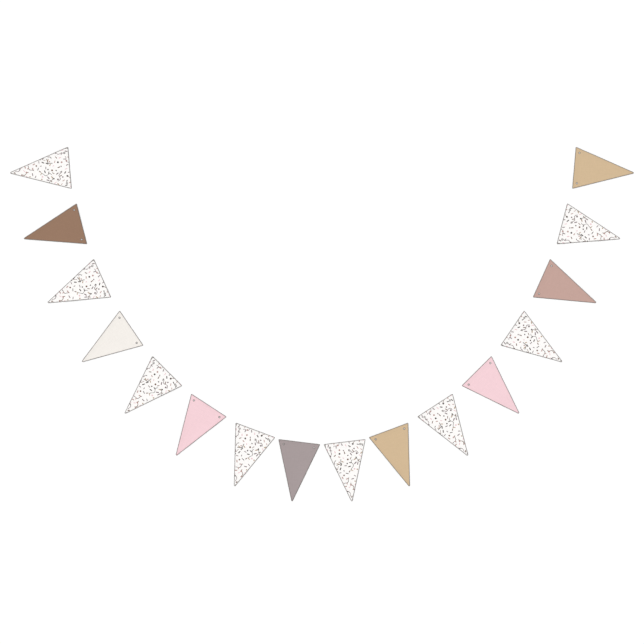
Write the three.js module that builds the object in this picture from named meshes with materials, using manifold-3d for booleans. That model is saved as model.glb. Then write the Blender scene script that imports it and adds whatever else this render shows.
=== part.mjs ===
// Fabric bunting: sixteen cloth flags laid out flat in one wide arc, tips outwards.
// Millimetres, +Z up. Each flag lies on the surface, with its underside at z = 0.
import * as THREE from 'three';
import { mergeVertices } from 'three/addons/utils/BufferGeometryUtils.js';
import Module from 'manifold-3d';

// One flag, measured to the sharp corners of its cut triangle.
const FLAG_WIDTH = 200;
const FLAG_DROP = 292;
const TOP_CORNER_RADIUS = 3;
const TIP_RADIUS = 4;

// The cloth, and the overlocked edge and eyelet rims that stand a little above it.
const CLOTH_THICKNESS = 1.2;
const EDGE_THICKNESS = 1.8;
const EDGE_WIDTH = 3;

// The eyelets, two in each flag.
const EYELET_RADIUS = 3.2;
const EYELET_RIM_WIDTH = 2;
const EYELET_ACROSS = 72;
const EYELET_DOWN = 20;

// How finely a rounded corner or an eyelet is stepped.
const CURVE_SEGMENTS = 6;
const SMALLEST_CORNER = 0.5;

// Where the flags lie, in mirrored pairs from the arc's ends to its middle. across and rise place the
// middle of a flag's top edge from the centre line and above the lowest pair, and lean turns its tip
// outwards from straight down, in degrees.
const PAIRS = [
  { left: 'print', right: 'tan', across: 1191.5, rise: 1295.1, lean: 85.1 },
  { left: 'brown', right: 'print', across: 1134.4, rise: 1030.7, lean: 75.55 },
  { left: 'print', right: 'rose', across: 1037.5, rise: 773.7, lean: 65.8 },
  { left: 'cream', right: 'print', across: 899.8, rise: 537.8, lean: 55.75 },
  { left: 'print', right: 'pink', across: 730.7, rise: 335.1, lean: 44.95 },
  { left: 'pink', right: 'print', across: 534.1, rise: 172.7, lean: 33.15 },
  { left: 'print', right: 'tan', across: 314.5, rise: 55.5, lean: 20.45 },
  { left: 'mauve', right: 'print', across: 107.0, rise: 0, lean: 7.0 },
];

// Cotton, by colour. The printed cloth shows its pale ground here.
const CLOTHS = {
  print: { color: '#f3efed', roughness: 0.9, metalness: 0 },
  brown: { color: '#997a65', roughness: 0.92, metalness: 0 },
  cream: { color: '#f6f1eb', roughness: 0.9, metalness: 0 },
  pink: { color: '#f7d4da', roughness: 0.9, metalness: 0 },
  mauve: { color: '#a89c9c', roughness: 0.92, metalness: 0 },
  tan: { color: '#d4ba97', roughness: 0.92, metalness: 0 },
  rose: { color: '#c6a59b', roughness: 0.92, metalness: 0 },
};

const wasm = await Module();
wasm.setup();

// Closed mesh to solid, with only its positions kept and its shared corners merged.
function solidOf(geometry) {
  const bare = geometry.clone();
  bare.deleteAttribute('normal');
  bare.deleteAttribute('uv');
  const merged = mergeVertices(bare, 1e-4);
  const vertProperties = new Float32Array(merged.attributes.position.array);
  const triVerts = new Uint32Array(merged.index.array);
  return new wasm.Manifold(new wasm.Mesh({ numProp: 3, vertProperties, triVerts }));
}

function geometryOf(solid) {
  const mesh = solid.getMesh();
  const geometry = new THREE.BufferGeometry();
  geometry.setAttribute('position', new THREE.BufferAttribute(mesh.vertProperties, 3));
  geometry.setIndex(new THREE.BufferAttribute(mesh.triVerts, 1));
  geometry.computeVertexNormals();
  return geometry;
}

// The flag's outline, drawn in by inset all round, with the top edge on the X axis and the tip down.
function flagOutline(inset) {
  const halfTip = Math.atan2(FLAG_WIDTH / 2, FLAG_DROP);
  const halfTop = (Math.PI / 2 - halfTip) / 2;
  const tipY = -FLAG_DROP + inset / Math.sin(halfTip);
  const topX = FLAG_WIDTH / 2 - inset / Math.tan(halfTop);
  const corners = [
    { x: -topX, y: -inset, half: halfTop, radius: TOP_CORNER_RADIUS, towardsMiddle: -halfTop },
    { x: 0, y: tipY, half: halfTip, radius: TIP_RADIUS, towardsMiddle: Math.PI / 2 },
    { x: topX, y: -inset, half: halfTop, radius: TOP_CORNER_RADIUS, towardsMiddle: Math.PI + halfTop },
  ];
  const shape = new THREE.Shape();
  for (const corner of corners) {
    const radius = Math.max(corner.radius - inset, SMALLEST_CORNER);
    const reach = radius / Math.sin(corner.half);
    const x = corner.x + reach * Math.cos(corner.towardsMiddle);
    const y = corner.y + reach * Math.sin(corner.towardsMiddle);
    const away = corner.towardsMiddle + Math.PI;
    const sweep = Math.PI / 2 - corner.half;
    shape.absarc(x, y, radius, away - sweep, away + sweep, false);
  }
  shape.closePath();
  return shape;
}

function addEyelets(shape, radius) {
  for (const side of [-1, 1]) {
    const ring = new THREE.Path();
    ring.absarc(side * EYELET_ACROSS, -EYELET_DOWN, radius, 0, 2 * Math.PI, true);
    shape.holes.push(ring);
  }
  return shape;
}

function extruded(shape, depth) {
  return new THREE.ExtrudeGeometry(shape, { depth, bevelEnabled: false, curveSegments: CURVE_SEGMENTS });
}

// One flag: a sheet of the edge's thickness, let down to the cloth's inside the edge and round the rims.
function flagGeometry() {
  const sheet = extruded(addEyelets(flagOutline(0), EYELET_RADIUS), EDGE_THICKNESS);
  const field = addEyelets(flagOutline(EDGE_WIDTH), EYELET_RADIUS + EYELET_RIM_WIDTH);
  const letDown = extruded(field, EDGE_THICKNESS);
  letDown.translate(0, 0, CLOTH_THICKNESS);
  return geometryOf(solidOf(sheet).subtract(solidOf(letDown)));
}

const cut = flagGeometry();

function flag(number, cloth, x, y, turn) {
  const material = new THREE.MeshStandardMaterial(CLOTHS[cloth]);
  const mesh = new THREE.Mesh(cut, material);
  mesh.name = `flag_${String(number).padStart(2, '0')}_${cloth}`;
  mesh.position.set(x, y, 0);
  mesh.rotation.z = turn;
  return mesh;
}

const bunting = new THREE.Group();
PAIRS.forEach((pair, index) => {
  const turn = THREE.MathUtils.degToRad(pair.lean);
  const lastNumber = 2 * PAIRS.length;
  bunting.add(flag(index + 1, pair.left, -pair.across, pair.rise, -turn));
  bunting.add(flag(lastNumber - index, pair.right, pair.across, pair.rise, turn));
});

// The origin goes to the middle of the whole arc, on the surface.
const middle = new THREE.Box3().setFromObject(bunting, true).getCenter(new THREE.Vector3());
for (const mesh of bunting.children) {
  mesh.position.x -= middle.x;
  mesh.position.y -= middle.y;
}

export default bunting;
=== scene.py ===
"""Fabric bunting: printed and plain cotton flags laid out flat in one wide arc.

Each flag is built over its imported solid, in metres. In a flag's own frame its top edge lies on the X axis,
its tip points down the Y axis, and the surface that it lies on is at z = 0.
"""

import math
import random

import bmesh
import bpy
from mathutils import Matrix, Vector, noise


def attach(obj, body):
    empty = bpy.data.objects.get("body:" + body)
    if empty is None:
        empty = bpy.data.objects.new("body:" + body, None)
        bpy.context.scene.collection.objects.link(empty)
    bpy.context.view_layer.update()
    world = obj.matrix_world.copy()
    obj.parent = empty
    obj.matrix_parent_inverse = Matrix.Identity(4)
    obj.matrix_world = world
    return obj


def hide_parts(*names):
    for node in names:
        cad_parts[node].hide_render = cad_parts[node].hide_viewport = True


bl_info = {
    "name": "Fabric bunting",
    "version": (1, 0, 0),
    "blender": (4, 5, 0),
    "location": "3D View > Sidebar > Bunting",
    "description": "Printed and plain cotton flags with overlocked edges, laid out in an arc",
    "category": "Add Mesh",
}

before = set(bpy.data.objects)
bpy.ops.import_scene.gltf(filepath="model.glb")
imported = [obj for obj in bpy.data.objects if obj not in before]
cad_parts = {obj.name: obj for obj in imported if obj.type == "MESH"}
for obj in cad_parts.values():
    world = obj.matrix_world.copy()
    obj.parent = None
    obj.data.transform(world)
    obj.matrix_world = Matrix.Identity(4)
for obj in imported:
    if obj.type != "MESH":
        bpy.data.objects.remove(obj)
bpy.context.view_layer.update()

MM = 0.001
NODES = sorted(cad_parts)
PRINTED = [node for node in NODES if node.endswith("print")]
PLAIN = [node for node in NODES if node not in PRINTED]

# The cloth's own map. One unit of it is this long, and the middle of the flag's top edge is at (0.5, 1).
MAP_NAME = "cloth"
MAP_LENGTH = 0.3

# The attribute that holds each stitch's own tone.
TONE_NAME = "tone"

# A point this near to a cut is on it, and points this near to each other are one. Where the cloth's outline
# is cut, so are points a sliver's width apart.
ON_CUT = 0.001 * MM
SAME_POINT = 0.01 * MM
SLIVER = 0.2 * MM

# How finely a flag's rounded corners and an eyelet's cut edge are stepped.
CORNER_STEPS = 12
RING_STEPS = 48

# How much stitches differ in size along the edge and across it, as shares, and in turn, in radians.
SIZES_ALONG = (0.92, 1.04)
SIZES_ACROSS = (0.97, 1.02)
STRAY_TURNS = (-0.06, 0.06)


def linear(hex_colour):
    """An sRGB hex colour as the linear red, green and blue that Blender works in."""
    channels = [int(hex_colour[start : start + 2], 16) / 255 for start in (1, 3, 5)]
    return [c / 12.92 if c <= 0.04045 else ((c + 0.055) / 1.055) ** 2.4 for c in channels]


def length(name, description, default):
    return bpy.props.FloatProperty(
        name=name, description=description, default=default, min=0, precision=4, unit="LENGTH"
    )


def degrees(name, description, default):
    return bpy.props.FloatProperty(
        name=name, description=description, default=math.radians(default), subtype="ANGLE"
    )


def colour(name, description, hex_colour):
    return bpy.props.FloatVectorProperty(
        name=name, description=description, default=linear(hex_colour), size=3, min=0, max=1, subtype="COLOR"
    )


def factor(name, description, default):
    return bpy.props.FloatProperty(
        name=name, description=description, default=default, min=0, max=1, subtype="FACTOR"
    )


class FlagSizes(bpy.types.PropertyGroup):
    width: length("Width", "Top edge of a flag, to its sharp corners", 200 * MM)
    drop: length("Drop", "Top edge to tip, to the sharp corners", 292 * MM)
    top_radius: length("Top corner radius", "Rounding of the two top corners", 3 * MM)
    tip_radius: length("Tip radius", "Rounding of the tip", 4 * MM)
    thickness: length("Cloth thickness", "One layer of the cotton", 0.6 * MM)
    step: length("Mesh step", "Side of the mesh squares, by which the eyelets' places divide", 4 * MM)
    ripple: length("Ripple", "How far the lying cloth lifts in its broad soft ripples", 1.6 * MM)
    ruffle: length("Ruffle", "How far the sewn edge waves", 0.4 * MM)


class EyeletSizes(bpy.types.PropertyGroup):
    radius: length("Radius", "Open hole inside the stitches", 2.4 * MM)
    rim: length("Rim", "Width of the ring of stitches", 2.7 * MM)
    across: length("Across", "From the flag's middle line to an eyelet", 72 * MM)
    down: length("Down", "From the top edge to an eyelet", 20 * MM)


class StitchSizes(bpy.types.PropertyGroup):
    band: length("Band", "Width of the overlocked edge", 2.7 * MM)
    pitch: length("Edge pitch", "From loop to loop along the edge", 1.6 * MM)
    rim_pitch: length("Eyelet pitch", "From loop to loop round an eyelet's cut edge", 1.3 * MM)
    needle_pitch: length("Needle pitch", "From stitch to stitch of the line inside the edge", 3.2 * MM)
    thread_width: length("Thread width", "Width of a loop of thread, flattened as it lies", 1.5 * MM)
    thread_height: length("Thread height", "Height of a loop on each face of the cloth", 0.6 * MM)
    needle_thread: length("Needle thread", "Width of the thread of the line inside the edge", 0.7 * MM)
    slant: degrees("Slant", "How far each loop leans from square to the edge", 18)


class BuntingColours(bpy.types.PropertyGroup):
    cream: colour("Cream", "Cream cotton", "#f6f1eb")
    pink: colour("Pink", "Pale pink cotton", "#f7d4da")
    rose: colour("Rose", "Dusty rose cotton", "#c6a59b")
    tan: colour("Tan", "Tan cotton", "#d4ba97")
    mauve: colour("Mauve", "Mauve-grey cotton", "#a89c9c")
    brown: colour("Brown", "Brown cotton", "#997a65")
    ground: colour("Printed ground", "White ground of the printed cotton", "#fffdfb")
    thread: colour("Thread", "Grey sewing thread", "#817a76")
    mark_dark: colour("Dark marks", "Darkest brown of the print", "#4f443f")
    mark_brown: colour("Brown marks", "Brown of the print", "#7a5d4e")
    mark_mauve: colour("Mauve marks", "Mauve-grey of the print", "#7e6c6f")
    mark_tan: colour("Tan marks", "Tan of the print", "#b79e86")
    mark_rose: colour("Rose marks", "Rose of the print", "#b8938c")
    mark_pink: colour("Pink marks", "Pink of the print", "#ecc9ce")


class StageSettings(bpy.types.PropertyGroup):
    floor: length("Floor", "Side of the floor", 80)
    paper: colour("Paper", "White paper of the floor", "#fefefe")
    view_width: length("View width", "Width that the camera takes in", 3.045)
    view_x: length("View across", "Middle of the view, right of the arc's middle", 0.3 * MM)
    view_y: length("View up", "Middle of the view, above the arc's middle", 10 * MM)
    lens: bpy.props.FloatProperty(name="Lens", description="Focal length", default=85, min=1, unit="CAMERA")
    sky_low: factor("Sky, low", "Brightness of the room near the horizon", 1.0)
    sky_high: factor("Sky, high", "Brightness of the room overhead", 0.6)
    key: bpy.props.FloatProperty(name="Key light", description="Strength of the sun", default=1.42, min=0)
    key_spread: degrees("Key spread", "How wide the sun is, which softens its shadows", 50)
    key_left: degrees("Key, left", "How far the sun leans to the left of the view", 28)
    key_up: degrees("Key, up", "How far the sun leans to the top of the view", 24)


class BuntingSettings(bpy.types.PropertyGroup):
    flag: bpy.props.PointerProperty(type=FlagSizes, name="Flag", description="Sizes of one flag")
    eyelet: bpy.props.PointerProperty(type=EyeletSizes, name="Eyelets", description="Sizes of the eyelets")
    stitch: bpy.props.PointerProperty(type=StitchSizes, name="Stitches", description="Sizes of the sewing")
    colours: bpy.props.PointerProperty(type=BuntingColours, name="Colours", description="Cloth and thread")
    stage: bpy.props.PointerProperty(type=StageSettings, name="Stage", description="Floor, light and camera")


def node_number(node):
    return int(node.split("_")[1])


def cloth_name(node):
    return node.split("_")[2]


def lay_of(node):
    """Where a flag's frame lies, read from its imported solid, which is alike on both sides of its axis."""
    # Rounded to a micrometre, a corner counts once however many faces meet there, so that the points' middle
    # is on the axis.
    points = {(round(v.co.x, 6), round(v.co.y, 6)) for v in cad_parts[node].data.vertices}
    points = [Vector(point) for point in sorted(points)]
    middle = sum(points, Vector((0, 0))) / len(points)
    tip = max(points, key=lambda point: (point - middle).length)
    down = (tip - middle).normalized()
    top = middle + down * min((point - middle).dot(down) for point in points)
    turn = math.atan2(down.x, -down.y)
    return Matrix.Translation(top.to_3d()) @ Matrix.Rotation(turn, 4, "Z")


def corners_of(flag):
    """The flag's rounded corners in order round it, each with its arc's middle, radius and two angles."""
    half_tip = math.atan2(flag.width / 2, flag.drop)
    half_top = (math.pi / 2 - half_tip) / 2
    corners = []
    for x, y, half, radius, inwards in (
        (-flag.width / 2, 0, half_top, flag.top_radius, -half_top),
        (0, -flag.drop, half_tip, flag.tip_radius, math.pi / 2),
        (flag.width / 2, 0, half_top, flag.top_radius, math.pi + half_top),
    ):
        middle = Vector((x, y)) + Vector((math.cos(inwards), math.sin(inwards))) * radius / math.sin(half)
        sweep = math.pi / 2 - half
        outwards = inwards + math.pi
        corners.append((middle, radius, outwards - sweep, outwards + sweep))
    return corners


def arc_places(middle, radius, start, end, steps):
    """Places along an arc, each a point with the angle that the arc faces there."""
    places = []
    for index in range(steps + 1):
        angle = start + (end - start) * index / steps
        places.append((middle + radius * Vector((math.cos(angle), math.sin(angle))), angle))
    return places


def edge_line(flag, inset):
    """The flag's closed outline, drawn in by inset all round, as places."""
    places = []
    for middle, radius, start, end in corners_of(flag):
        places += arc_places(middle, radius - inset, start, end, CORNER_STEPS)
    return places


def spaced(places, pitch):
    """The same closed line, with its places set evenly about a pitch apart."""
    closed = places + places[:1]
    spans = [(b[0] - a[0]).length for a, b in zip(closed, closed[1:])]
    count = round(sum(spans) / pitch)
    even = sum(spans) / count
    result = []
    passed = 0
    for (a, angle_a), (b, angle_b), span in zip(closed, closed[1:], spans):
        turn = math.remainder(angle_b - angle_a, math.tau)
        while len(result) < count and len(result) * even < passed + span:
            share = (len(result) * even - passed) / span
            result.append((a.lerp(b, share), angle_a + turn * share))
        passed += span
    return result


def thread_reach(flag, stitch):
    """How far a stitch stands out past the cloth's cut edge."""
    return flag.thickness / 2 + stitch.thread_height


def fall(distance, start, end):
    """1 up to start, 0 from end on, and a smooth fall between."""
    share = min(max((distance - start) / (end - start), 0), 1)
    return 1 - share * share * (3 - 2 * share)


def height_of(flag, eyelet, stitch, seed):
    """A function that gives how high the middle of the cloth lies. It rests on its sewn edges and eyelets,
    lies on the surface between them, and lifts here and there in a broad ripple."""
    # A straight side begins where a corner's arc ends, and faces the way that the arc faces there.
    sides = []
    for middle, radius, _, end in corners_of(flag):
        sides.append((Vector((math.cos(end), math.sin(end))), middle, radius))
    margin = 0.5 * MM
    bed_end = 22 * MM
    ripple_span = 120 * MM
    ruffle_span = 17 * MM
    ruffle_depth = 30 * MM

    def height(x, y):
        point = Vector((x, y))
        inside = min(radius - (point - middle).dot(normal) for normal, middle, radius in sides)
        bed = fall(inside, stitch.band + margin, bed_end)
        for side in (-1, 1):
            away = (point - Vector((side * eyelet.across, -eyelet.down))).length
            bed = max(bed, fall(away, eyelet.radius + eyelet.rim + margin, bed_end))
        rest = flag.thickness / 2 + stitch.thread_height * bed
        # On most flags the noise stays under 0.63, where lift is 1. Its power of 1.5 rounds a ripple's foot.
        ripple = max(noise.noise((x / ripple_span, y / ripple_span, seed)), 0)
        lift = 2 * ripple * math.sqrt(ripple)
        wave = 0.5 + 0.5 * noise.noise((x / ruffle_span, y / ruffle_span, seed))
        return rest + flag.ripple * lift + flag.ruffle * wave * fall(inside, 0, ruffle_depth)

    return height


def clear(name):
    """Drops the object of this name that an earlier run left."""
    old = bpy.data.objects.get(name)
    if old:
        bpy.data.objects.remove(old)


def add_piece(name, bm, material):
    """Makes a smooth-shaded mesh object, placed in its mesh, and ends the bmesh."""
    clear(name)
    mesh = bpy.data.meshes.new(name)
    bm.to_mesh(mesh)
    bm.free()
    mesh.shade_smooth()
    mesh.materials.append(material)
    piece = bpy.data.objects.new(name, mesh)
    bpy.context.scene.collection.objects.link(piece)
    return piece


def new_verts(geom):
    return [item for item in geom if isinstance(item, bmesh.types.BMVert)]


def new_ring(geom):
    """The edges that run between the new vertices, without those that lead back to the old ones."""
    verts = set(new_verts(geom))
    return [item for item in geom if isinstance(item, bmesh.types.BMEdge) and verts.issuperset(item.verts)]


def cut_cloth(flag, eyelet, stitch):
    """One flag's cloth, flat and one face thick, with its corners rounded and its two holes cut."""
    bm = bmesh.new()
    columns = round(flag.width / flag.step)
    rows = round(flag.drop / flag.step)
    bmesh.ops.create_grid(bm, x_segments=columns, y_segments=rows, size=0.5)
    bmesh.ops.scale(bm, vec=(columns * flag.step, rows * flag.step, 1), verts=bm.verts)
    bmesh.ops.translate(bm, vec=(0, -rows * flag.step / 2, 0), verts=bm.verts)

    for point, angle in edge_line(flag, thread_reach(flag, stitch)):
        bmesh.ops.bisect_plane(
            bm,
            geom=bm.verts[:] + bm.edges[:] + bm.faces[:],
            dist=ON_CUT,
            plane_co=point.to_3d(),
            plane_no=(math.cos(angle), math.sin(angle), 0),
            clear_outer=True,
        )
    bmesh.ops.remove_doubles(bm, verts=bm.verts, dist=SLIVER)

    for side in (-1, 1):
        cut_eyelet(bm, Vector((side * eyelet.across, -eyelet.down, 0)), flag, eyelet, stitch)
    return bm


def cut_eyelet(bm, middle, flag, eyelet, stitch):
    """Takes a patch of four by four squares out of the cloth, and draws its rim in to a round hole in two
    steps."""
    reach = 2 * flag.step

    def within(point, grown):
        return max(abs(point.x - middle.x), abs(point.y - middle.y)) < grown

    patch = [face for face in bm.faces if within(face.calc_center_median(), reach)]
    bmesh.ops.delete(bm, geom=patch, context="FACES")
    around = reach + flag.step / 2
    ring = [e for e in bm.edges if e.is_boundary and all(within(v.co, around) for v in e.verts)]
    for radius in (eyelet.radius + eyelet.rim, eyelet.radius + thread_reach(flag, stitch)):
        made = bmesh.ops.extrude_edge_only(bm, edges=ring)["geom"]
        for vert in new_verts(made):
            vert.co = middle + (vert.co - middle).normalized() * radius
        ring = new_ring(made)


def add_cloth(name, node, pattern, material, settings):
    """A flag's cloth: the cut pattern given its thickness and its own map, and laid down."""
    flag = settings.flag
    bm = pattern.copy()
    bmesh.ops.recalc_face_normals(bm, faces=bm.faces)
    bmesh.ops.solidify(bm, geom=bm.faces[:], thickness=flag.thickness)
    # The thickness lies to one side of the pattern, so the cloth's middle is no longer at z = 0.
    middle = sum(v.co.z for v in bm.verts) / len(bm.verts)
    uv = bm.loops.layers.uv.new(MAP_NAME)
    for face in bm.faces:
        for loop in face.loops:
            loop[uv].uv = (loop.vert.co.x / MAP_LENGTH + 0.5, loop.vert.co.y / MAP_LENGTH + 1)
    height = height_of(flag, settings.eyelet, settings.stitch, node_number(node))
    for vert in bm.verts:
        vert.co.z += height(vert.co.x, vert.co.y) - middle
    bmesh.ops.transform(bm, matrix=lay_of(node), verts=bm.verts)
    bmesh.ops.recalc_face_normals(bm, faces=bm.faces)
    return add_piece(name, bm, material)


def template(bm, name):
    """The bmesh as a mesh of this name, to be set down many times. It ends the bmesh."""
    mesh = bpy.data.meshes.new(name)
    bm.to_mesh(mesh)
    bm.free()
    return mesh


def loop_stitch(flag, stitch, band, taper, sides):
    """One loop of thread round a cut edge, as long as band is wide. It runs out over the cloth, round the
    edge, back beneath and up through the needle's hole, where it is taper times as wide. The edge runs
    along X, the cloth lies behind it, and z = 0 is the cloth's middle."""
    bm = bmesh.new()
    reach = thread_reach(flag, stitch)
    turn_radius = (flag.thickness + stitch.thread_height) / 2
    # The loop's round turn at the needle's end is flattened to this share, so that it stands nearly upright.
    plunge = 0.4
    # Inside the cloth the needle's hole draws the thread in to this share of its width.
    pinch = 0.6
    run = band - reach - plunge * reach
    facing = Matrix.Rotation(math.pi / 2, 4, "X")
    made = bmesh.ops.create_circle(bm, segments=sides, radius=0.5, matrix=facing)
    bmesh.ops.scale(bm, vec=(stitch.thread_width, 1, stitch.thread_height), verts=made["verts"])
    bmesh.ops.translate(bm, vec=(0, -run, turn_radius), verts=made["verts"])
    ring = bm.edges[:]
    for along, turn_at, steps in ((run, 0, 3), (-run, -run, 2)):
        made = bmesh.ops.extrude_edge_only(bm, edges=ring)["geom"]
        bmesh.ops.translate(bm, vec=(0, along, 0), verts=new_verts(made))
        made = bmesh.ops.spin(
            bm,
            geom=new_verts(made) + new_ring(made),
            cent=(0, turn_at, 0),
            axis=(1, 0, 0),
            angle=-math.pi,
            steps=steps,
            use_duplicate=False,
        )
        ring = new_ring(made["geom_last"])
    bmesh.ops.remove_doubles(bm, verts=bm.verts, dist=SAME_POINT)
    needle_end = [vert for vert in bm.verts if vert.co.y < -run + SAME_POINT]
    in_hole = [vert for vert in needle_end if vert.co.y < -run - turn_radius / 2]
    behind = Matrix.Translation((0, run, 0))
    bmesh.ops.scale(bm, vec=(taper, plunge, 1), space=behind, verts=needle_end)
    bmesh.ops.scale(bm, vec=(pinch, 1, 1), verts=in_hole)
    bmesh.ops.recalc_face_normals(bm, faces=bm.faces)
    return template(bm, "loop_stitch")


def needle_stitch(flag, stitch):
    """One stitch of the straight line inside the edge: up out of the cloth, along it over the loops' ends,
    sunk into them, and down into the cloth again. It is a square tube and runs along X."""
    bm = bmesh.new()
    sides = 4
    rise = (flag.thickness + stitch.needle_thread) / 2 + stitch.thread_height / 3
    dive = stitch.needle_thread
    run = stitch.needle_pitch - 2 * dive
    facing = Matrix.Rotation(math.pi / 2, 4, "Y")
    made = bmesh.ops.create_circle(bm, segments=sides, radius=stitch.needle_thread / 2, matrix=facing)
    bmesh.ops.translate(bm, vec=(-run / 2 - dive, 0, 0), verts=made["verts"])
    ring = bm.edges[:]
    for step in ((dive, 0, rise), (run, 0, 0), (dive, 0, -rise)):
        made = bmesh.ops.extrude_edge_only(bm, edges=ring)["geom"]
        bmesh.ops.translate(bm, vec=step, verts=new_verts(made))
        ring = new_ring(made)
    bmesh.ops.holes_fill(bm, edges=bm.edges, sides=sides)
    bmesh.ops.recalc_face_normals(bm, faces=bm.faces)
    return template(bm, "needle_stitch")


def sew(bm, stitch_mesh, places, lean, rng):
    """Sets a stitch at each place, leaning a little, no two quite alike, with a tone of its own."""
    tone = bm.verts.layers.float.get(TONE_NAME) or bm.verts.layers.float.new(TONE_NAME)
    for point, angle in places:
        first = len(bm.verts)
        bm.from_mesh(stitch_mesh)
        bm.verts.ensure_lookup_table()
        verts = bm.verts[first:]
        stretch = Matrix.Diagonal((rng.uniform(*SIZES_ALONG), rng.uniform(*SIZES_ACROSS), 1, 1))
        turn = angle - math.pi / 2 + lean + rng.uniform(*STRAY_TURNS)
        place = Matrix.Translation(point.to_3d()) @ Matrix.Rotation(turn, 4, "Z") @ stretch
        bmesh.ops.transform(bm, matrix=place, verts=verts)
        shade = rng.random()
        for vert in verts:
            vert[tone] = shade
    bpy.data.meshes.remove(stitch_mesh)


def edge_sewing(flag, stitch):
    """The overlocked edge of one flag, flat: loops round the cut edge, and the needle's line inside it. A
    loop narrows towards the needle."""
    bm = bmesh.new()
    rng = random.Random("edge")
    cut = edge_line(flag, thread_reach(flag, stitch))
    loops = loop_stitch(flag, stitch, stitch.band, taper=0.75, sides=5)
    sew(bm, loops, spaced(cut, stitch.pitch), stitch.slant, rng)
    line = edge_line(flag, stitch.band - stitch.needle_thread / 2)
    sew(bm, needle_stitch(flag, stitch), spaced(line, stitch.needle_pitch), 0, rng)
    return bm


def eyelet_sewing(flag, eyelet, stitch):
    """The rings of loops round both eyelets of one flag, flat. They face the hole's middle, so they are
    closest there, and a loop widens towards the needle to keep the ring's outside closed."""
    cut_radius = eyelet.radius + thread_reach(flag, stitch)
    places = []
    for side in (-1, 1):
        middle = Vector((side * eyelet.across, -eyelet.down))
        circle = arc_places(middle, cut_radius, 0, math.tau, RING_STEPS)[:-1]
        places += [(point, angle + math.pi) for point, angle in spaced(circle, stitch.rim_pitch)]
    bm = bmesh.new()
    loops = loop_stitch(flag, stitch, eyelet.rim, taper=1.3, sides=10)
    sew(bm, loops, places, stitch.slant, random.Random("eyelets"))
    return bm


def add_sewing(name, node, flat, material, settings):
    """A flag's stitches, lifted to where its cloth lies."""
    bm = flat.copy()
    height = height_of(settings.flag, settings.eyelet, settings.stitch, node_number(node))
    for vert in bm.verts:
        vert.co.z += height(vert.co.x, vert.co.y)
    bmesh.ops.transform(bm, matrix=lay_of(node), verts=bm.verts)
    piece = add_piece(name, bm, material)
    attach(piece, "root")


def add_node(tree, kind, settings, inputs):
    """Adds a node, and gives each input a number, or a link where it is another node's output."""
    node = tree.nodes.new("ShaderNode" + kind)
    for name, value in settings.items():
        setattr(node, name, value)
    for name, value in inputs.items():
        if isinstance(value, bpy.types.NodeSocket):
            tree.links.new(value, node.inputs[name])
        else:
            node.inputs[name].default_value = value
    return node


def new_material(name):
    """An empty material and its tree. One of this name from an earlier run is dropped."""
    old = bpy.data.materials.get(name)
    if old:
        bpy.data.materials.remove(old)
    material = bpy.data.materials.new(name)
    material.use_nodes = True
    material.node_tree.nodes.clear()
    return material, material.node_tree


def cloth_places(tree):
    """A flag's own coordinates in millimetres, from the cloth's map."""
    uv = add_node(tree, "UVMap", {"uv_map": MAP_NAME}, {})
    places = add_node(
        tree, "VectorMath", {"operation": "SCALE"}, {0: uv.outputs[0], "Scale": MAP_LENGTH / MM}
    )
    return places.outputs[0]


def weave_height(tree, places):
    """Plain weave: each thread is a round ridge that dives under every second crossing. Real threads lie
    0.4 mm apart, too fine to show, so they are drawn 1.2 mm apart."""
    spacing = 1.2
    dive = 0.3
    scaled = add_node(tree, "VectorMath", {"operation": "SCALE"}, {0: places, "Scale": math.pi / spacing})
    axes = add_node(tree, "SeparateXYZ", {}, {0: scaled.outputs[0]})
    ridges = []
    for across, along in (("X", "Y"), ("Y", "X")):
        ridge = add_node(tree, "Math", {"operation": "SINE"}, {0: axes.outputs[across]})
        ridge = add_node(tree, "Math", {"operation": "ABSOLUTE"}, {0: ridge.outputs[0]})
        swing = add_node(tree, "Math", {"operation": "COSINE"}, {0: axes.outputs[along]})
        ridges.append((ridge.outputs[0], swing.outputs[0]))
    crossing = add_node(tree, "Math", {"operation": "MULTIPLY"}, {0: ridges[0][1], 1: ridges[1][1]})
    threads = []
    for rise, (ridge, _) in zip((dive, -dive), ridges):
        over_or_under = {0: crossing.outputs[0], 1: rise, 2: ridge}
        threads.append(add_node(tree, "Math", {"operation": "MULTIPLY_ADD"}, over_or_under).outputs[0])
    return add_node(tree, "Math", {"operation": "MAXIMUM"}, {0: threads[0], 1: threads[1]}).outputs[0]


def slub_shade(tree, places):
    """Uneven yarn and dye: soft streaks along both threads, 40 mm long and 3 mm wide."""
    along = 1 / 40
    across = 1 / 3
    streaks = []
    for stretch in ((across, along, 1), (along, across, 1)):
        moved = add_node(tree, "Mapping", {}, {"Vector": places, "Scale": stretch})
        streak = add_node(
            tree,
            "TexNoise",
            {"noise_dimensions": "2D"},
            {"Vector": moved.outputs[0], "Scale": 1, "Detail": 2},
        )
        streaks.append(streak.outputs[0])
    both = add_node(tree, "Math", {"operation": "ADD"}, {0: streaks[0], 1: streaks[1]})
    shade = add_node(
        tree,
        "MapRange",
        {},
        {0: both.outputs[0], "From Min": 0.6, "From Max": 1.4, "To Min": 0.94, "To Max": 1},
    )
    return shade.outputs[0]


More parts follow.
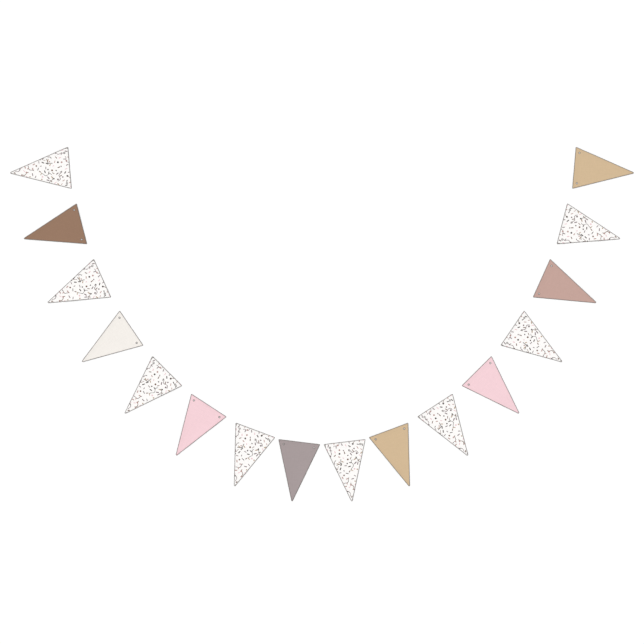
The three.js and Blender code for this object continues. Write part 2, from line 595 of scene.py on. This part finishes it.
def finish_cotton(material, tree, places, base):
    """Matt woven cotton: nearly no shine, a faint fuzz at the glancing edges, the weave's ridges, and
    painted shade that darkens the gaps between its threads."""
    weave = weave_height(tree, places)
    shade = slub_shade(tree, places)
    # Painted shade: the colour darkens to 0.88 where the weave lies low, in the gaps between the threads.
    painted_gap_shade = add_node(
        tree, "MapRange", {}, {0: weave, "From Min": 0.2, "From Max": 0.9, "To Min": 0.88, "To Max": 1}
    )
    # The tone is the yarn's own streaks times the painted shade in the weave's gaps.
    tone = add_node(tree, "Math", {"operation": "MULTIPLY"}, {0: shade, 1: painted_gap_shade.outputs[0]})
    toned = add_node(tree, "VectorMath", {"operation": "SCALE"}, {0: base, "Scale": tone.outputs[0]})
    bump = add_node(tree, "Bump", {}, {"Height": weave, "Distance": 0.25 * MM, "Strength": 0.7})
    shader = add_node(
        tree,
        "BsdfPrincipled",
        {},
        {
            "Base Color": toned.outputs[0],
            "Normal": bump.outputs[0],
            "Roughness": 0.92,
            "Specular IOR Level": 0.1,
            "Sheen Weight": 0.02,
            "Sheen Roughness": 0.6,
        },
    )
    add_node(tree, "OutputMaterial", {}, {"Surface": shader.outputs[0]})
    return material


def plain_cotton(name, base):
    """Piece-dyed plain-weave cotton in one colour."""
    material, tree = new_material(name)
    return finish_cotton(material, tree, cloth_places(tree), base)


# The print's two layers, with lengths in millimetres, turns in radians and shares of one. A streamer is a
# long stroke that waves.
SCATTER = {
    "cell": 19,  # size of the cells that hold one mark each
    "turn": 0.3,  # how far the layer is turned
    "shift": 3.1,  # how many cells it is shifted
    "short": 1.8,  # a stroke's least half length, before its round ends
    "long": 5.4,  # its greatest
    "wide": 1.8,  # its half width
    "dots": 0.21,  # share of the cells that have a dot in the stroke's place
    "dot": 3.4,  # a dot's radius
    "wave": 0,  # how far a stroke waves to each side
    "span": 40,  # length of one wave
    "empty": 0.04,  # share of the cells that stay empty
}
STREAMERS = {
    "cell": 58,
    "turn": 0.7,
    "shift": 21.9,
    "short": 16,
    "long": 25,
    "wide": 1.4,
    "dots": 0,
    "dot": 1.4,
    "wave": 5,
    "span": 36,
    "empty": 0.1,
}


def mark_cells(tree, places, layer):
    """The cells of a jittered grid, each for one mark of the print: (a place in millimetres from its cell's
    middle, and the cell's three random numbers)."""
    moved = add_node(
        tree,
        "Mapping",
        {},
        {
            "Vector": places,
            "Rotation": (0, 0, layer["turn"]),
            "Scale": (1 / layer["cell"],) * 3,
            "Location": (layer["shift"], -layer["shift"], 0),
        },
    )
    cells = add_node(
        tree,
        "TexVoronoi",
        {"voronoi_dimensions": "2D"},
        {"Vector": moved.outputs[0], "Scale": 1, "Randomness": 0.65},
    )
    chances = add_node(tree, "SeparateColor", {}, {0: cells.outputs["Color"]})
    local = add_node(
        tree, "VectorMath", {"operation": "SUBTRACT"}, {0: moved.outputs[0], 1: cells.outputs["Position"]}
    )
    local = add_node(
        tree, "VectorMath", {"operation": "SCALE"}, {0: local.outputs[0], "Scale": layer["cell"]}
    )
    return local.outputs[0], *chances.outputs


def mark_lie(tree, local, layer, chance):
    """How a cell's mark lies, turned and waved by a random number: (place along its line, place off it)."""
    turn = add_node(tree, "Math", {"operation": "MULTIPLY"}, {0: chance, 1: math.tau})
    turned = add_node(
        tree, "VectorRotate", {"rotation_type": "Z_AXIS"}, {"Vector": local, "Angle": turn.outputs[0]}
    )
    axes = add_node(tree, "SeparateXYZ", {}, {0: turned.outputs[0]})
    phase = add_node(
        tree,
        "Math",
        {"operation": "MULTIPLY_ADD"},
        {0: axes.outputs["X"], 1: math.tau / layer["span"], 2: turn.outputs[0]},
    )
    wave = add_node(tree, "Math", {"operation": "SINE"}, {0: phase.outputs[0]})
    off_line = add_node(
        tree,
        "Math",
        {"operation": "MULTIPLY_ADD"},
        {0: wave.outputs[0], 1: -layer["wave"], 2: axes.outputs["Y"]},
    )
    return axes.outputs["X"], off_line.outputs[0]


def mark_size(tree, layer, width_chance, kind_chance):
    """The size of a cell's mark, a stroke or a dot, by two random numbers: (half length, half width)."""
    is_dot = add_node(tree, "Math", {"operation": "LESS_THAN"}, {0: kind_chance, 1: layer["dots"]})
    stroke = add_node(
        tree, "MapRange", {}, {0: kind_chance, "To Min": layer["short"], "To Max": layer["long"]}
    )
    half_length = add_node(
        tree, "Mix", {}, {"Factor": is_dot.outputs[0], "A": stroke.outputs[0], "B": 0}
    )
    half_width = add_node(
        tree, "Mix", {}, {"Factor": is_dot.outputs[0], "A": layer["wide"], "B": layer["dot"]}
    )
    # The chance that turns the mark is stirred here, so that marks of one width lie in different ways.
    stir = 7
    stirred = add_node(tree, "Math", {"operation": "MULTIPLY"}, {0: width_chance, 1: stir})
    stirred = add_node(tree, "Math", {"operation": "FRACT"}, {0: stirred.outputs[0]})
    size = add_node(tree, "MapRange", {}, {0: stirred.outputs[0], "To Min": 0.85, "To Max": 1.3})
    half_width = add_node(
        tree, "Math", {"operation": "MULTIPLY"}, {0: half_width.outputs[0], 1: size.outputs[0]}
    )
    return half_length.outputs[0], half_width.outputs[0]


def print_marks(tree, places, layer, palette):
    """One layer of the print: (where its marks are, their colours). Each cell holds one stroke, dot or wavy
    streamer, whose edge is soft for as far as the ink bleeds, in millimetres to each side."""
    bleed = 0.25
    local, turn_chance, kind_chance, ink_chance = mark_cells(tree, places, layer)
    along, off_line = mark_lie(tree, local, layer, turn_chance)
    half_length, half_width = mark_size(tree, layer, turn_chance, kind_chance)
    beyond = add_node(tree, "Math", {"operation": "ABSOLUTE"}, {0: along})
    beyond = add_node(tree, "Math", {"operation": "SUBTRACT"}, {0: beyond.outputs[0], 1: half_length})
    beyond = add_node(tree, "Math", {"operation": "MAXIMUM"}, {0: beyond.outputs[0], 1: 0})
    offset = add_node(tree, "CombineXYZ", {}, {"X": beyond.outputs[0], "Y": off_line})
    away = add_node(tree, "VectorMath", {"operation": "LENGTH"}, {0: offset.outputs[0]})
    outside = add_node(tree, "Math", {"operation": "SUBTRACT"}, {0: away.outputs["Value"], 1: half_width})
    inked = add_node(
        tree,
        "MapRange",
        {"interpolation_type": "SMOOTHSTEP"},
        {0: outside.outputs[0], "From Min": bleed, "From Max": -bleed},
    )
    drawn = add_node(tree, "Math", {"operation": "GREATER_THAN"}, {0: ink_chance, 1: layer["empty"]})
    where = add_node(tree, "Math", {"operation": "MULTIPLY"}, {0: inked.outputs[0], 1: drawn.outputs[0]})
    ramp = add_node(tree, "ValToRGB", {}, {0: ink_chance})
    ramp.color_ramp.interpolation = "CONSTANT"
    ramp.color_ramp.elements.remove(ramp.color_ramp.elements[1])
    ramp.color_ramp.elements[0].color = (*palette[0], 1)
    for index, ink in enumerate(palette[1:], 1):
        ramp.color_ramp.elements.new(index / len(palette)).color = (*ink, 1)
    return where.outputs[0], ramp.outputs[0]


def printed_cotton(name, colours):
    """White plain-weave cotton with a scattered party print of small strokes, dots and wavy streamers, in
    darker shades of the plain flags' colours. The ink is in the cloth, so it has the cloth's own shine."""
    material, tree = new_material(name)
    places = cloth_places(tree)
    strokes = [
        colours.mark_dark,
        colours.mark_brown,
        colours.mark_mauve,
        colours.mark_dark,
        colours.mark_rose,
        colours.mark_mauve,
        colours.mark_tan,
        colours.mark_pink,
    ]
    streamers = [colours.mark_mauve, colours.mark_brown, colours.mark_dark, colours.mark_mauve]
    painted = (*colours.ground, 1)
    # The mixing node's colours are its inputs 6 and 7, and its output 2.
    for layer, palette in ((STREAMERS, streamers), (SCATTER, strokes)):
        where, ink = print_marks(tree, places, layer, palette)
        mixed = add_node(tree, "Mix", {"data_type": "RGBA"}, {"Factor": where, 6: painted, 7: ink})
        painted = mixed.outputs[2]
    return finish_cotton(material, tree, places, painted)


def sewing_thread(name, base):
    """Spun polyester sewing thread: matt, each stitch a little lighter or darker, with a fibrous surface.
    Its fibres are drawn 0.4 mm across, coarser than life, so that they show."""
    fibre = 0.4 * MM
    material, tree = new_material(name)
    tone = add_node(tree, "Attribute", {"attribute_name": TONE_NAME}, {})
    places = add_node(tree, "TexCoord", {}, {})
    fibres = add_node(
        tree, "TexNoise", {}, {"Vector": places.outputs["Object"], "Scale": 1 / fibre, "Detail": 2}
    )
    lighter = add_node(
        tree, "MapRange", {}, {0: tone.outputs["Fac"], "To Min": 0.86, "To Max": 1.12}
    )
    mottled = add_node(
        tree,
        "MapRange",
        {},
        {0: fibres.outputs[0], "From Min": 0.3, "From Max": 0.7, "To Min": 0.92, "To Max": 1.06},
    )
    both = add_node(tree, "Math", {"operation": "MULTIPLY"}, {0: lighter.outputs[0], 1: mottled.outputs[0]})
    toned = add_node(tree, "VectorMath", {"operation": "SCALE"}, {0: base, "Scale": both.outputs[0]})
    bump = add_node(tree, "Bump", {}, {"Height": fibres.outputs[0], "Distance": fibre / 4, "Strength": 0.5})
    shader = add_node(
        tree,
        "BsdfPrincipled",
        {},
        {
            "Base Color": toned.outputs[0],
            "Normal": bump.outputs[0],
            "Roughness": 0.75,
            "Specular IOR Level": 0.3,
        },
    )
    add_node(tree, "OutputMaterial", {}, {"Surface": shader.outputs[0]})
    return material


def white_paper(name, base):
    """Matt white studio paper."""
    material, tree = new_material(name)
    shader = add_node(
        tree, "BsdfPrincipled", {}, {"Base Color": (*base, 1), "Roughness": 1, "Specular IOR Level": 0}
    )
    add_node(tree, "OutputMaterial", {}, {"Surface": shader.outputs[0]})
    return material


def declare_flag(cloth, node):
    """Attaches a flag's cloth to the root body, and hides the imported solid that it stands for."""
    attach(cloth, "root")
    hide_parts(node)


class BUNTING_OT_stage(bpy.types.Operator):
    """Lay the white floor, light it softly and set the camera straight above"""

    bl_idname = "bunting.stage"
    bl_label = "Stage"

    def execute(self, context):
        stage = context.scene.bunting.stage
        bm = bmesh.new()
        bmesh.ops.create_grid(bm, x_segments=8, y_segments=8, size=stage.floor / 2)
        add_piece("floor", bm, white_paper("white_paper", stage.paper))

        world = bpy.data.worlds.get("studio") or bpy.data.worlds.new("studio")
        world.use_nodes = True
        tree = world.node_tree
        tree.nodes.clear()
        direction = add_node(tree, "TexCoord", {}, {})
        axes = add_node(tree, "SeparateXYZ", {}, {0: direction.outputs["Generated"]})
        glow = add_node(
            tree,
            "MapRange",
            {},
            {
                0: axes.outputs["Z"],
                "From Min": 0.2,
                "From Max": 0.7,
                "To Min": stage.sky_low,
                "To Max": stage.sky_high,
            },
        )
        background = add_node(tree, "Background", {}, {"Color": (1, 1, 1, 1), "Strength": glow.outputs[0]})
        add_node(tree, "OutputWorld", {}, {"Surface": background.outputs[0]})
        context.scene.world = world

        clear("key_light")
        sun = bpy.data.lights.new("key_light", "SUN")
        sun.energy = stage.key
        sun.angle = stage.key_spread
        key = bpy.data.objects.new("key_light", sun)
        key.rotation_euler = (-stage.key_up, -stage.key_left, 0)
        context.scene.collection.objects.link(key)

        # The camera stands where its lens takes in the view's width on the floor.
        clear("camera")
        lens = bpy.data.cameras.new("camera")
        lens.lens = stage.lens
        lens.clip_end = 200
        camera = bpy.data.objects.new("camera", lens)
        camera.location = (stage.view_x, stage.view_y, stage.view_width * stage.lens / lens.sensor_width)
        context.scene.collection.objects.link(camera)
        context.scene.camera = camera
        context.scene.view_settings.view_transform = "Standard"
        return {"FINISHED"}


class BUNTING_OT_edges(bpy.types.Operator):
    """Sew the overlocked edge round every flag"""

    bl_idname = "bunting.edges"
    bl_label = "Overlocked edges"

    def execute(self, context):
        settings = context.scene.bunting
        flat = edge_sewing(settings.flag, settings.stitch)
        thread = sewing_thread("edge_thread", settings.colours.thread)
        for node in NODES:
            add_sewing(node + "_edge", node, flat, thread, settings)
        flat.free()
        return {"FINISHED"}


class BUNTING_OT_eyelets(bpy.types.Operator):
    """Sew the ring of stitches round every eyelet"""

    bl_idname = "bunting.eyelets"
    bl_label = "Stitched eyelets"

    def execute(self, context):
        settings = context.scene.bunting
        flat = eyelet_sewing(settings.flag, settings.eyelet, settings.stitch)
        thread = sewing_thread("eyelet_thread", settings.colours.thread)
        for node in NODES:
            add_sewing(node + "_eyelets", node, flat, thread, settings)
        flat.free()
        return {"FINISHED"}


class BUNTING_OT_plain_flags(bpy.types.Operator):
    """Cut the flags of plain dyed cotton and lay them down"""

    bl_idname = "bunting.plain_flags"
    bl_label = "Plain flags"

    def execute(self, context):
        settings = context.scene.bunting
        pattern = cut_cloth(settings.flag, settings.eyelet, settings.stitch)
        cottons = {}
        for node in PLAIN:
            dye = cloth_name(node)
            if dye not in cottons:
                cottons[dye] = plain_cotton(dye + "_cotton", getattr(settings.colours, dye))
            cloth = add_cloth(node + "_cloth", node, pattern, cottons[dye], settings)
            declare_flag(cloth, node)
        pattern.free()
        return {"FINISHED"}


class BUNTING_OT_printed_flags(bpy.types.Operator):
    """Cut the flags of printed cotton and lay them down"""

    bl_idname = "bunting.printed_flags"
    bl_label = "Printed flags"

    def execute(self, context):
        settings = context.scene.bunting
        pattern = cut_cloth(settings.flag, settings.eyelet, settings.stitch)
        cotton = printed_cotton("printed_cotton", settings.colours)
        for node in PRINTED:
            cloth = add_cloth(node + "_cloth", node, pattern, cotton, settings)
            declare_flag(cloth, node)
        pattern.free()
        return {"FINISHED"}


OPERATORS = (
    BUNTING_OT_stage,
    BUNTING_OT_edges,
    BUNTING_OT_eyelets,
    BUNTING_OT_plain_flags,
    BUNTING_OT_printed_flags,
)


class BUNTING_PT_sidebar(bpy.types.Panel):
    """Lists the bunting's pieces, with the sizes and colours that they are made to"""

    bl_idname = "BUNTING_PT_sidebar"
    bl_label = "Fabric bunting"
    bl_space_type = "VIEW_3D"
    bl_region_type = "UI"
    bl_category = "Bunting"

    def draw(self, context):
        settings = context.scene.bunting
        for operator in OPERATORS:
            self.layout.operator(operator.bl_idname)
        for group in (settings.flag, settings.eyelet, settings.stitch, settings.colours, settings.stage):
            box = self.layout.box()
            for name in group.__annotations__:
                box.prop(group, name)


CLASSES = (
    FlagSizes,
    EyeletSizes,
    StitchSizes,
    BuntingColours,
    StageSettings,
    BuntingSettings,
    *OPERATORS,
    BUNTING_PT_sidebar,
)


def register():
    for cls in CLASSES:
        bpy.utils.register_class(cls)
    bpy.types.Scene.bunting = bpy.props.PointerProperty(type=BuntingSettings)


def unregister():
    del bpy.types.Scene.bunting
    for cls in reversed(CLASSES):
        bpy.utils.unregister_class(cls)


def main():
    register()
    bpy.ops.bunting.stage()
    bpy.ops.bunting.edges()
    bpy.ops.bunting.eyelets()
    bpy.ops.bunting.plain_flags()
    bpy.ops.bunting.printed_flags()


if __name__ == "__main__":
    main()
